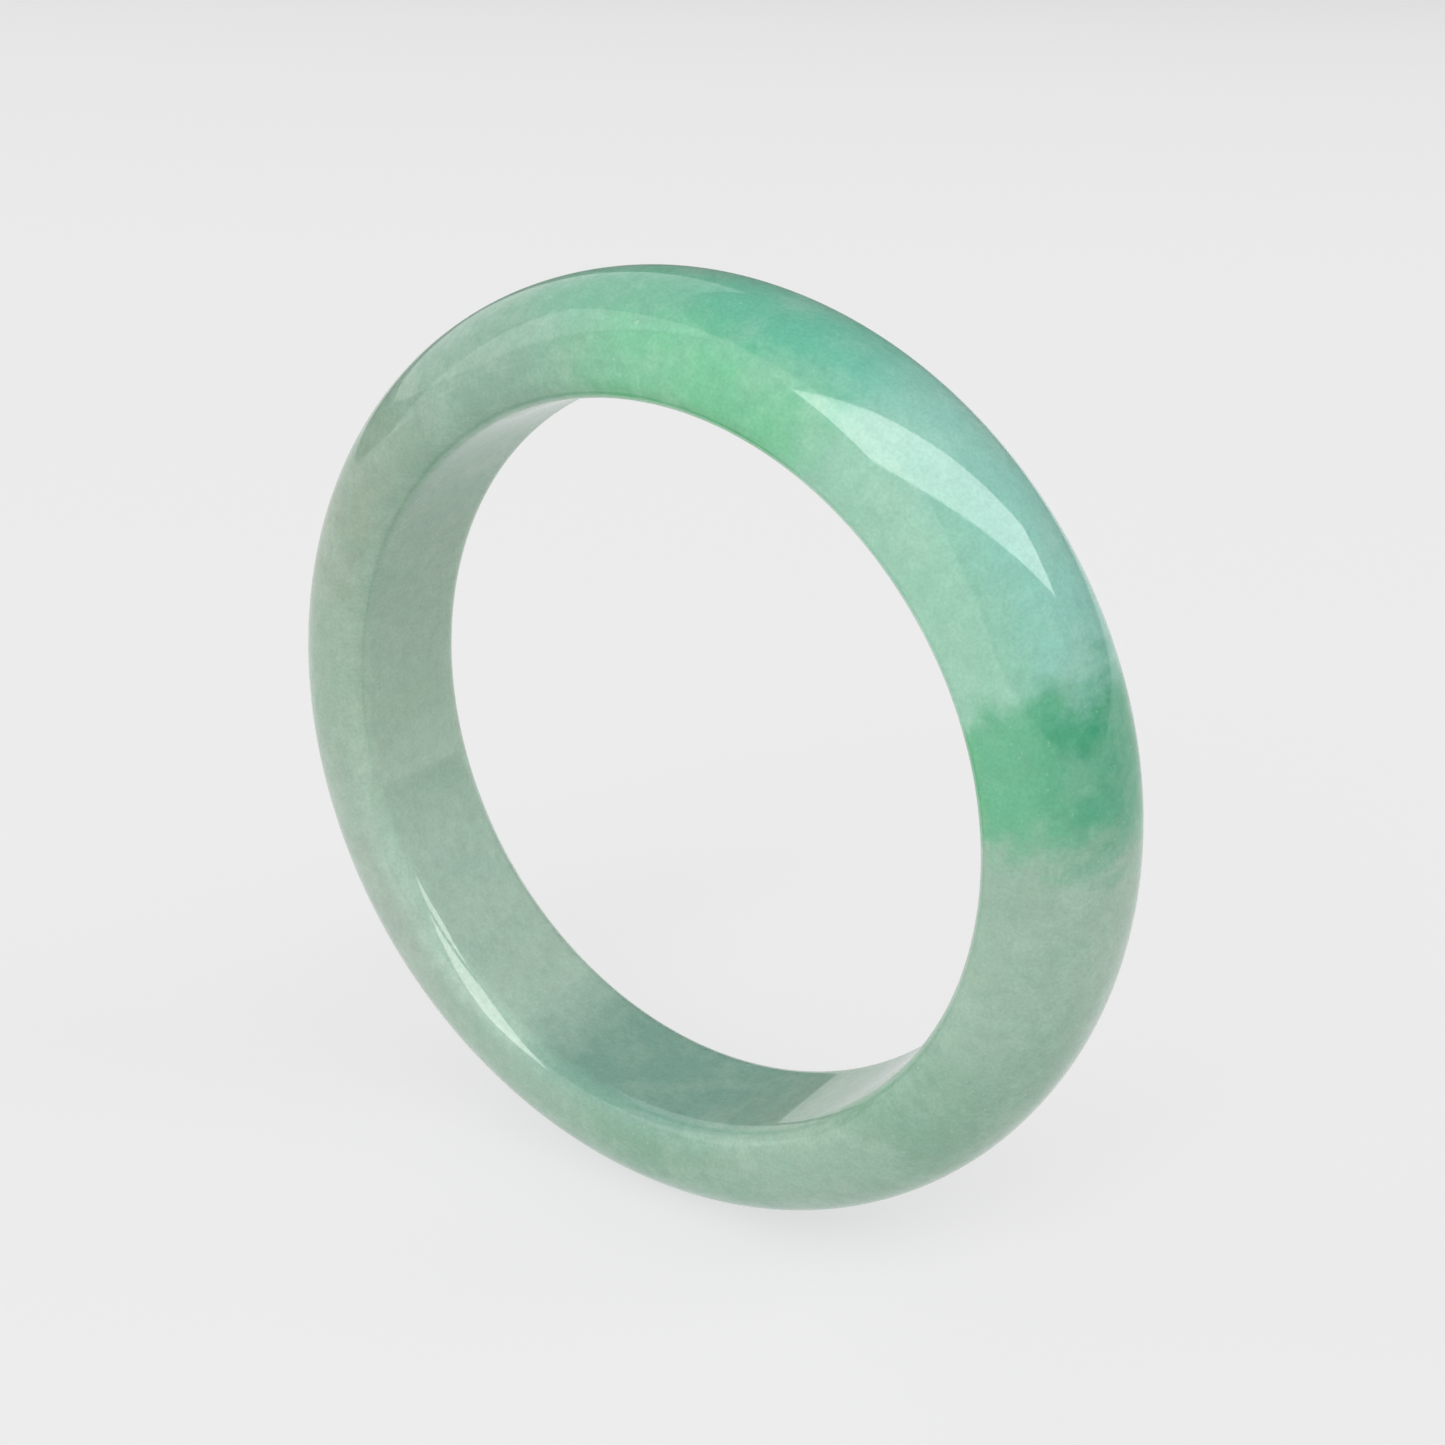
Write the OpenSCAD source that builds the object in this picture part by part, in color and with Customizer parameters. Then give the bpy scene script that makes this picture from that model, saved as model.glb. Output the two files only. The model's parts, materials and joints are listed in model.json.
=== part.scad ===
// Bangle bracelet: one closed ring of polished jade, flat on the inside and domed on the outside.
// The ring stands on its edge. Its axis lies along Y, +Z is up, and the origin is the middle of
// the wrist opening.

/* [Wrist opening] */
// Inner diameter of the ring, the size that a bangle is sold by
inner_d = 56; // [50:0.5:66]
// Radius that eases the edge at both mouths of the opening
mouth_r = 2; // [0.5:0.1:2.4]

/* [Band] */
// Thickness of the stone, from the wall of the opening to the top of the dome
stone_t = 8.5; // [7:0.1:12]
// Width of the band, along the wearer's arm
band_w = 13; // [9:0.1:16]

/* [Dome] */
// Radius of the crown, the gentle arc in the middle of the dome
crown_r = 8.3; // [7.5:0.1:20]
// Radius of each shoulder, between the crown and a side of the band
shoulder_r = 5.8; // [3:0.1:6]

/* [Hidden] */
$fn = 128;
jade_green = "#9fbca6";
half_w = band_w / 2;
bore_r = inner_d / 2;
// Least length kept between the ends of a mouth's arc and a shoulder's, and between the middle of
// the band and a shoulder's centre, so that thin and narrow bands still have every arc
arc_gap = 0.2;
shoulder = min(shoulder_r, half_w - arc_gap);
// The section is drawn with x = 0 on the wall of the opening and y = 0 in the middle of the band.
// The crown and a shoulder are tangent: the centres of both arcs and the point where they meet lie
// on one line, which leans by crown_angle from the x axis.
crown_x = stone_t - crown_r;
shoulder_y = half_w - shoulder;
crown_angle = asin(shoulder_y / (crown_r - shoulder));
shoulder_x = crown_x + (crown_r - shoulder) * cos(crown_angle);
crown_y = crown_r * sin(crown_angle);
mouth = min(mouth_r, shoulder_x - arc_gap);
// The two halves of the section overlap by this much, so that they join into one
overlap = 1;

// Rectangle from its lowest corner to its highest
module area(low, high) {
    translate(low)
        square(high - low);
}

// Disc of radius r around a centre
module disc(centre, r) {
    translate(centre)
        circle(r);
}

// Half of the section: the wall of the opening, its eased mouth, the flat side and the shoulder
module half_section() {
    area([0, -overlap], [shoulder_x, half_w - mouth]);
    disc([mouth, half_w - mouth], mouth);
    area([mouth, 0], [shoulder_x, half_w]);
    intersection() {
        disc([shoulder_x, shoulder_y], shoulder);
        area([mouth, 0], [stone_t, half_w]);
    }
}

// Section through the band: two halves, joined under the crown
module band_section() {
    half_section();
    mirror([0, 1])
        half_section();
    intersection() {
        disc([crown_x, 0], crown_r);
        area([mouth, -crown_y], [stone_t, crown_y]);
    }
}

// The whole bangle: its section turned once around the axis of the opening
module jade_ring() {
    color(jade_green)
        rotate([90, 0, 0])
            rotate_extrude()
                translate([bore_r, 0])
                    band_section();
}

jade_ring();
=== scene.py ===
"""A polished jade bangle on a pale floor, in plain soft studio light.

Everything is in metres and in the row frame: the bangle stands on its edge, with its axis along Y,
+Z up and the middle of the wrist opening at the origin.
"""

import json
import math

import bpy
from mathutils import Matrix, Vector


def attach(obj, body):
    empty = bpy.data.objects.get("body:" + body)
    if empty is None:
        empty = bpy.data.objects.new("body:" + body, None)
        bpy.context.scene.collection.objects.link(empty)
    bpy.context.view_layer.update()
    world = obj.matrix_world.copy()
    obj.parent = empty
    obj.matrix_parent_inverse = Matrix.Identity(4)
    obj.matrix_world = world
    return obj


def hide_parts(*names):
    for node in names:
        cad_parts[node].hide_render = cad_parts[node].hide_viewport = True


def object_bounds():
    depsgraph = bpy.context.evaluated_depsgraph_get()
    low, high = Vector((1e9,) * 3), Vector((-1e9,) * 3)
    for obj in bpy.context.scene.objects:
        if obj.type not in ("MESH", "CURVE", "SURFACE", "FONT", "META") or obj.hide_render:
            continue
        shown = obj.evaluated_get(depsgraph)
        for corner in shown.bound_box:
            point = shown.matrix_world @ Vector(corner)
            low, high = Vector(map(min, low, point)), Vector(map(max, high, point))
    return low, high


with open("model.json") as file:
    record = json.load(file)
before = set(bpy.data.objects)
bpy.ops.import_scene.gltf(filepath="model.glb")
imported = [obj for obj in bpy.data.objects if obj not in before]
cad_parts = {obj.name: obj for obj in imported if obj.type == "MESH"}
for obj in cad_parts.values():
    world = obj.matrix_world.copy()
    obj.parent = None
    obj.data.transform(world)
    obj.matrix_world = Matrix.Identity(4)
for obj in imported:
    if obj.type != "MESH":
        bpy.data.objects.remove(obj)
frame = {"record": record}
cad_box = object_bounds()

MM = 0.001

# ---------------------------------------------------------------- sizes, from the frame

RING_LOW, RING_HIGH = cad_box
OPENING = next(m for m in frame["record"]["mounts"] if m["name"] == "wrist_opening")["dims"]
OUTER_R = min(RING_HIGH[0], -RING_LOW[0], RING_HIGH[2])
HALF_W = RING_HIGH[1]
BORE_R = OPENING["r_mm"] * MM
MOUTH_R = HALF_W - OPENING["length_mm"] * MM / 2
FLOOR_Z = RING_LOW[2]

# ---------------------------------------------------------------- the ring's mesh

STEPS_AROUND = 720
STEPS_ACROSS = 128
OUTLINE_STEPS = 400
# The dome is a superellipse: 2 would be a plain ellipse, and more has fuller shoulders.
DOME_POWER = 2.2
# Polishing by hand leaves the surface this uneven, always inside the nominal shape.
POLISH_DEPTH = 0.009 * MM
# The heights of the four waves in polish_dip, added up.
WAVES_AT_MOST = 3.4


def dense_section(steps=OUTLINE_STEPS):
    """Closely spaced (radius, y) points once round the section, from the front edge of the dome."""
    dome_reach = OUTER_R - BORE_R - MOUTH_R
    centre_r = BORE_R + MOUTH_R
    wall_half = HALF_W - MOUTH_R
    points = []
    for i in range(steps + 1):
        angle = math.pi * (i / steps - 0.5)
        across = abs(math.cos(angle)) ** (2 / DOME_POWER)
        along = math.copysign(abs(math.sin(angle)) ** (2 / DOME_POWER), angle)
        points.append((centre_r + dome_reach * across, HALF_W * along))
    for side in (1, -1):
        for i in range(1, steps // 4):
            turn = math.pi / 2 * i / (steps // 4)
            if side < 0:
                turn = math.pi / 2 - turn
            points.append((
                centre_r - MOUTH_R * math.sin(turn),
                side * (wall_half + MOUTH_R * math.cos(turn)),
            ))
        if side > 0:
            points += [(BORE_R, wall_half * (1 - 2 * i / steps)) for i in range(steps + 1)]
    return points


def even_section(count):
    """The section as count points at equal distances along its outline."""
    points = dense_section()
    points.append(points[0])
    lengths = [0.0]
    for (r0, y0), (r1, y1) in zip(points, points[1:]):
        lengths.append(lengths[-1] + math.hypot(r1 - r0, y1 - y0))
    out = []
    k = 0
    for i in range(count):
        want = lengths[-1] * i / count
        while lengths[k + 1] < want:
            k += 1
        share = (want - lengths[k]) / (lengths[k + 1] - lengths[k])
        (r0, y0), (r1, y1) = points[k], points[k + 1]
        out.append((r0 + share * (r1 - r0), y0 + share * (y1 - y0)))
    return out


def polish_dip(turn, place):
    """How far the polished surface lies inside the nominal one, 0 to 1, at an angle round the
    ring and a share of the way round the section. Both repeat every full turn."""
    waves = (
        math.sin(9 * turn + 2.0 * math.sin(place))
        + math.sin(23 * turn - 3 * place + 1.3)
        + 0.6 * math.sin(41 * turn + 2 * place + 4.1)
        + 0.8 * math.sin(4 * place + 5 * turn + 0.7)
    )
    return 0.5 + waves / (2 * WAVES_AT_MOST)


def ring_mesh():
    """The bangle as one closed skin of quads."""
    section = even_section(STEPS_ACROSS)
    normals = []
    for i in range(STEPS_ACROSS):
        (r0, y0), (r1, y1) = section[i - 1], section[(i + 1) % STEPS_ACROSS]
        size = math.hypot(r1 - r0, y1 - y0)
        normals.append(((y1 - y0) / size, -(r1 - r0) / size))
    verts = []
    for i in range(STEPS_AROUND):
        turn = 2 * math.pi * i / STEPS_AROUND
        for j in range(STEPS_ACROSS):
            place = 2 * math.pi * j / STEPS_ACROSS
            depth = POLISH_DEPTH * polish_dip(turn, place)
            radius = section[j][0] - depth * normals[j][0]
            y = section[j][1] - depth * normals[j][1]
            verts.append((radius * math.cos(turn), y, radius * math.sin(turn)))
    faces = []
    for i in range(STEPS_AROUND):
        here, there = i * STEPS_ACROSS, (i + 1) % STEPS_AROUND * STEPS_ACROSS
        for j in range(STEPS_ACROSS):
            nxt = (j + 1) % STEPS_ACROSS
            faces.append((here + j, here + nxt, there + nxt, there + j))
    mesh = bpy.data.meshes.new("jade_bangle")
    mesh.from_pydata(verts, [], faces)
    mesh.validate()
    mesh.polygons.foreach_set("use_smooth", [True] * len(mesh.polygons))
    mesh.update()
    return mesh


# ---------------------------------------------------------------- node trees


def from_srgb(red, green, blue):
    """A colour as it looks on a screen, 0 to 255, as the linear colour that Blender works in."""
    def channel(value):
        value /= 255
        return value / 12.92 if value <= 0.04045 else ((value + 0.055) / 1.055) ** 2.4
    return (channel(red), channel(green), channel(blue), 1.0)


class Graph:
    """Short calls for making a node tree. Each returns the socket that carries its result."""

    def __init__(self, tree):
        self.tree = tree
        tree.nodes.clear()

    def node(self, kind, inputs=None, **settings):
        made = self.tree.nodes.new(kind)
        for name, value in settings.items():
            setattr(made, name, value)
        for name, value in (inputs or {}).items():
            self.put(made.inputs[name], value)
        return made

    def put(self, socket, value):
        if isinstance(value, bpy.types.NodeSocket):
            self.tree.links.new(value, socket)
        else:
            socket.default_value = value

    def math(self, operation, *values):
        made = self.node("ShaderNodeMath", operation=operation)
        for socket, value in zip(made.inputs, values):
            self.put(socket, value)
        return made.outputs[0]

    def step(self, value, low, high):
        """0 below low and 1 above high, with a smooth rise between them."""
        made = self.node("ShaderNodeMapRange", interpolation_type="SMOOTHSTEP")
        self.put(made.inputs["Value"], value)
        self.put(made.inputs["From Min"], low)
        self.put(made.inputs["From Max"], high)
        return made.outputs[0]

    def scaled(self, value, low, high, new_low, new_high):
        made = self.node("ShaderNodeMapRange")
        names = ("Value", "From Min", "From Max", "To Min", "To Max")
        for name, given in zip(names, (value, low, high, new_low, new_high)):
            self.put(made.inputs[name], given)
        return made.outputs[0]

    def mix(self, factor, a, b):
        made = self.node("ShaderNodeMix", data_type="RGBA")
        self.put(made.inputs["Factor"], factor)
        self.put(made.inputs["A"], a)
        self.put(made.inputs["B"], b)
        return made.outputs["Result"]

    def scale_vector(self, vector, factors):
        made = self.node("ShaderNodeVectorMath", {0: vector, 1: factors}, operation="MULTIPLY")
        return made.outputs[0]

    def noise(self, vector, scale, detail=2.0, roughness=0.5, distortion=0.0):
        made = self.node("ShaderNodeTexNoise", {
            "Vector": vector,
            "Scale": scale,
            "Detail": detail,
            "Roughness": roughness,
            "Distortion": distortion,
        })
        return made.outputs["Fac"]

    def ramp(self, value, stops):
        """A colour ramp through (place, colour) stops."""
        made = self.node("ShaderNodeValToRGB")
        ramp = made.color_ramp
        ramp.interpolation = "EASE"
        for place, colour in stops[1:-1]:
            ramp.elements.new(place).color = colour
        ramp.elements[0].position, ramp.elements[0].color = stops[0]
        ramp.elements[-1].position, ramp.elements[-1].color = stops[-1]
        self.put(made.inputs["Fac"], value)
        return made.outputs["Color"]


# ---------------------------------------------------------------- jade

EMERALD = from_srgb(105, 185, 145)
DEEP_EMERALD = from_srgb(70, 165, 125)
GRASS = from_srgb(85, 180, 120)
APPLE = from_srgb(120, 200, 155)
VIRIDIAN = from_srgb(110, 190, 165)
PINE = from_srgb(110, 180, 150)
MINT = from_srgb(155, 205, 180)
SEA = from_srgb(150, 205, 190)
HAZE = from_srgb(155, 185, 165)
MOSS = from_srgb(135, 175, 150)
LAGOON = from_srgb(135, 175, 160)
SAGE = from_srgb(140, 175, 155)
FOG = from_srgb(150, 170, 150)
CELADON = from_srgb(155, 180, 160)
FROST = from_srgb(165, 185, 170)
PEARL = from_srgb(170, 195, 175)
# A pale stone colour that also carries a painted reflection and painted light, used on the wall of
# the opening.
ICE_WITH_PAINTED_REFLECTION = from_srgb(185, 210, 195)
COTTON = from_srgb(190, 210, 195)
TEAL = from_srgb(110, 170, 150)

# The stone's colour changes round the ring. Angles are in degrees from +X towards +Z. Each list
# is one depth in the stone: the wall of the opening, the sides, and the crown of the dome.
# On the wall, the pale band from -150 to -120 degrees is partly the stone's paler colour and partly
# a painted reflection.
WALL_ZONES = (
    (-180, PEARL), (-150, ICE_WITH_PAINTED_REFLECTION), (-120, ICE_WITH_PAINTED_REFLECTION), (-104, LAGOON), (-84, LAGOON), (-60, HAZE),
    (-36, MOSS), (-18, HAZE), (2, HAZE), (10, GRASS), (18, GRASS), (25, MINT), (56, MINT),
    (68, GRASS), (86, GRASS), (112, SAGE), (180, PEARL),
)
SIDE_ZONES = (
    (-180, CELADON), (-145, FROST), (-112, HAZE), (-90, MOSS), (-57, HAZE), (-38, MOSS),
    (-22, HAZE), (0, HAZE), (10, EMERALD), (18, EMERALD), (25, MINT), (54, MINT),
    (68, APPLE), (82, APPLE), (112, SAGE), (150, FOG), (180, CELADON),
)
CROWN_ZONES = (
    (-180, SAGE), (-140, CELADON), (-90, LAGOON), (-40, MOSS), (-5, HAZE), (0, HAZE),
    (9, DEEP_EMERALD), (18, DEEP_EMERALD), (27, SEA), (54, SEA), (68, VIRIDIAN), (90, PINE),
    (125, SAGE), (160, FOG), (180, SAGE),
)

# Where one list of zones gives way to the next, in mm out from the wall of the opening, and in mm in
# from the outermost radius.
WALL_SKIN = (-0.3, 2.2)
CROWN_SKIN = (4.5, 0.3)
# How far the bands wander and fray, as a share of a turn, and how far they fray in depth, in mm.
BAND_DRIFT = 0.02
BAND_FRAY = 0.03
DEPTH_FRAY = 2.0
# How strongly the pale clouds, the dark veins and the pale flecks show.
CLOUDS = 0.2
VEINS = 0.14
FLECKS = 0.3
# Most of a noise lies between these.
NOISE_SPAN = (0.3, 0.7)
POLISH_ROUGHNESS = (0.04, 0.08)
JADE_IOR = 1.66
# Light that enters the stone and spreads: its share, and how far red, green and blue go.
GLOW_WEIGHT = 0.6
GLOW_RADIUS = (0.8, 1.0, 0.85)
GLOW_SCALE = 2.5 * MM


def jade_colour(g, in_mm):
    """Bands of colour that change round the ring, feathered, clouded and flecked."""
    # The bands run along the ring's axis, so what feathers them is drawn out along it too.
    drawn_out = g.scale_vector(in_mm, (1, 0.35, 1))
    xyz = g.node("ShaderNodeSeparateXYZ", {0: in_mm}).outputs
    drift = g.math("SUBTRACT", g.noise(in_mm, 0.12, 2, 0.5), 0.5)
    feather = g.math("SUBTRACT", g.noise(drawn_out, 0.5, 4, 0.55), 0.5)
    turn = g.math("DIVIDE", g.math("ARCTAN2", xyz["Z"], xyz["X"]), 2 * math.pi)
    turn = g.math("MULTIPLY_ADD", drift, BAND_DRIFT, turn)
    turn = g.math("MULTIPLY_ADD", feather, BAND_FRAY, turn)
    turn = g.math("FRACT", g.math("ADD", turn, 0.5))
    squares = [g.math("POWER", xyz[axis], 2) for axis in ("X", "Z")]
    radius = g.math("SQRT", g.math("ADD", *squares))
    radius = g.math("MULTIPLY_ADD", feather, DEPTH_FRAY, radius)

    def zones(stops):
        return g.ramp(turn, [((degrees + 180) / 360, colour) for degrees, colour in stops])

    wall, outer = BORE_R / MM, OUTER_R / MM
    past_wall = g.step(radius, wall + WALL_SKIN[0], wall + WALL_SKIN[1])
    in_crown = g.step(radius, outer - CROWN_SKIN[0], outer - CROWN_SKIN[1])
    colour = g.mix(past_wall, zones(WALL_ZONES), zones(SIDE_ZONES))
    colour = g.mix(in_crown, colour, zones(CROWN_ZONES))
    clouds = g.step(g.noise(in_mm, 0.25, 4, 0.55), 0.42, 0.72)
    colour = g.mix(g.math("MULTIPLY", clouds, CLOUDS), colour, COTTON)
    veins = g.step(g.noise(drawn_out, 0.35, 4, 0.6, 0.3), 0.45, 0.75)
    colour = g.mix(g.math("MULTIPLY", veins, VEINS), colour, TEAL)
    blotches = g.scaled(g.noise(in_mm, 1.0, 4, 0.65), *NOISE_SPAN, 0.94, 1.06)
    grains = g.scaled(g.noise(in_mm, 4.0, 2, 0.6), *NOISE_SPAN, 0.955, 1.045)
    shade = g.math("MULTIPLY", blotches, grains)
    colour = g.scale_vector(colour, shade)
    flecks = g.step(g.noise(in_mm, 2.2, 2, 0.5), 0.68, 0.78)
    return g.mix(g.math("MULTIPLY", flecks, FLECKS), colour, COTTON)


def jade_material():
    material = bpy.data.materials.new("jade")
    material.use_nodes = True
    g = Graph(material.node_tree)
    place = g.node("ShaderNodeTexCoord").outputs["Object"]
    in_mm = g.scale_vector(place, (1 / MM, 1 / MM, 1 / MM))
    smears = g.scaled(g.noise(in_mm, 0.8, 4, 0.6), *NOISE_SPAN, *POLISH_ROUGHNESS)
    shader = g.node("ShaderNodeBsdfPrincipled", {
        "Base Color": jade_colour(g, in_mm),
        "Roughness": smears,
        "IOR": JADE_IOR,
        "Subsurface Weight": GLOW_WEIGHT,
        "Subsurface Radius": GLOW_RADIUS,
        "Subsurface Scale": GLOW_SCALE,
    })
    g.node("ShaderNodeOutputMaterial", {"Surface": shader.outputs[0]})
    return material


def add_ring():
    ring = bpy.data.objects.new("jade_bangle", ring_mesh())
    bpy.context.collection.objects.link(ring)
    ring.data.materials.append(jade_material())
    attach(ring, "root")
    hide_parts("jade_ring")


# ---------------------------------------------------------------- floor, light and camera

VIEW_AZIMUTH = 35.1
VIEW_ELEVATION = 21.4
LENS = 49.83
SENSOR_WIDTH = 36
CLIP_START = 0.005
DISTANCE = 150.7 * MM
# The bangle sits a little left of the picture's middle and a little below it.
PAN_RIGHT = 3.05 * MM
PAN_UP = 2.68 * MM
PALE = from_srgb(237, 237, 237)
FLOOR_SIZE = 30.0
FLOOR_GREY = (0.2, 0.2, 0.2, 1)
FLOOR_ROUGHNESS = 0.9
FLOOR_GLOW = 0.65


def direction(azimuth, elevation):
    """Where an azimuth, from -Y towards +X, and an elevation point to, both in degrees."""
    a, e = math.radians(azimuth), math.radians(elevation)
    return Vector((math.sin(a) * math.cos(e), -math.cos(a) * math.cos(e), math.sin(e)))


def view_axes():
    """The camera's right, up and backward directions."""
    back = direction(VIEW_AZIMUTH, VIEW_ELEVATION)
    right = direction(VIEW_AZIMUTH + 90, 0)
    return right, back.cross(right), back


def add_camera():
    right, up, back = view_axes()
    camera = bpy.data.objects.new("camera", bpy.data.cameras.new("camera"))
    bpy.context.collection.objects.link(camera)
    camera.data.lens = LENS
    camera.data.sensor_width = SENSOR_WIDTH
    camera.data.clip_start = CLIP_START
    turn = Matrix((right, up, back)).transposed().to_4x4()
    spot = right * PAN_RIGHT + up * PAN_UP + back * DISTANCE
    camera.matrix_world = Matrix.Translation(spot) @ turn
    bpy.context.scene.camera = camera


def add_floor():
    """A wide floor that glows, like a light table, so that shadows stay faint and soft."""
    half = FLOOR_SIZE / 2
    mesh = bpy.data.meshes.new("floor")
    corners = [(x * half, y * half, FLOOR_Z) for x, y in ((-1, -1), (1, -1), (1, 1), (-1, 1))]
    mesh.from_pydata(corners, [], [(0, 1, 2, 3)])
    floor = bpy.data.objects.new("floor", mesh)
    bpy.context.collection.objects.link(floor)
    material = bpy.data.materials.new("floor")
    material.use_nodes = True
    g = Graph(material.node_tree)
    shader = g.node("ShaderNodeBsdfPrincipled", {
        "Base Color": FLOOR_GREY,
        "Roughness": FLOOR_ROUGHNESS,
        "Specular IOR Level": 0.0,
        "Emission Color": (1, 1, 1, 1),
        "Emission Strength": FLOOR_GLOW,
    })
    g.node("ShaderNodeOutputMaterial", {"Surface": shader.outputs[0]})
    mesh.materials.append(material)


# The softboxes hang round the bangle at one distance, facing it. Azimuth 0 is towards the camera
# and 90 is to its right. Each line: name, azimuth and elevation in degrees, width and height in
# metres, brightness.
SOFTBOX_DISTANCE = 3.0
SOFTBOXES = (
    ("key", 25, 56, 8.0, 1.3, 3.31),
    ("fill", -60, 20, 5.0, 3.4, 0.764),
    ("back", 235, 35, 5.0, 3.0, 0.637),
)
STUDIO_LIGHT = (0.22, 0.22, 0.22, 1)


def add_softbox(name, azimuth, elevation, width, height, brightness):
    lamp = bpy.data.lights.new(name, "AREA")
    lamp.shape = "RECTANGLE"
    lamp.size = width
    lamp.size_y = height
    # An area light of this power has the wanted brightness all over its face.
    lamp.energy = math.pi * width * height * brightness
    softbox = bpy.data.objects.new(name, lamp)
    bpy.context.collection.objects.link(softbox)
    towards = direction(VIEW_AZIMUTH + azimuth, elevation)
    turn = towards.to_track_quat("Z", "Y").to_matrix().to_4x4()
    softbox.matrix_world = Matrix.Translation(towards * SOFTBOX_DISTANCE) @ turn
    softbox.visible_camera = False


def add_studio():
    """A plain, even, dim studio, with a pale backdrop behind the bangle."""
    world = bpy.data.worlds.new("studio")
    bpy.context.scene.world = world
    world.use_nodes = True
    g = Graph(world.node_tree)
    seen = g.node("ShaderNodeLightPath").outputs["Is Camera Ray"]
    background = g.node("ShaderNodeBackground", {"Color": g.mix(seen, STUDIO_LIGHT, PALE)})
    g.node("ShaderNodeOutputWorld", {"Surface": background.outputs[0]})
    for softbox in SOFTBOXES:
        add_softbox(*softbox)


bpy.context.scene.view_settings.view_transform = "Standard"
add_camera()
add_floor()
add_studio()
add_ring()
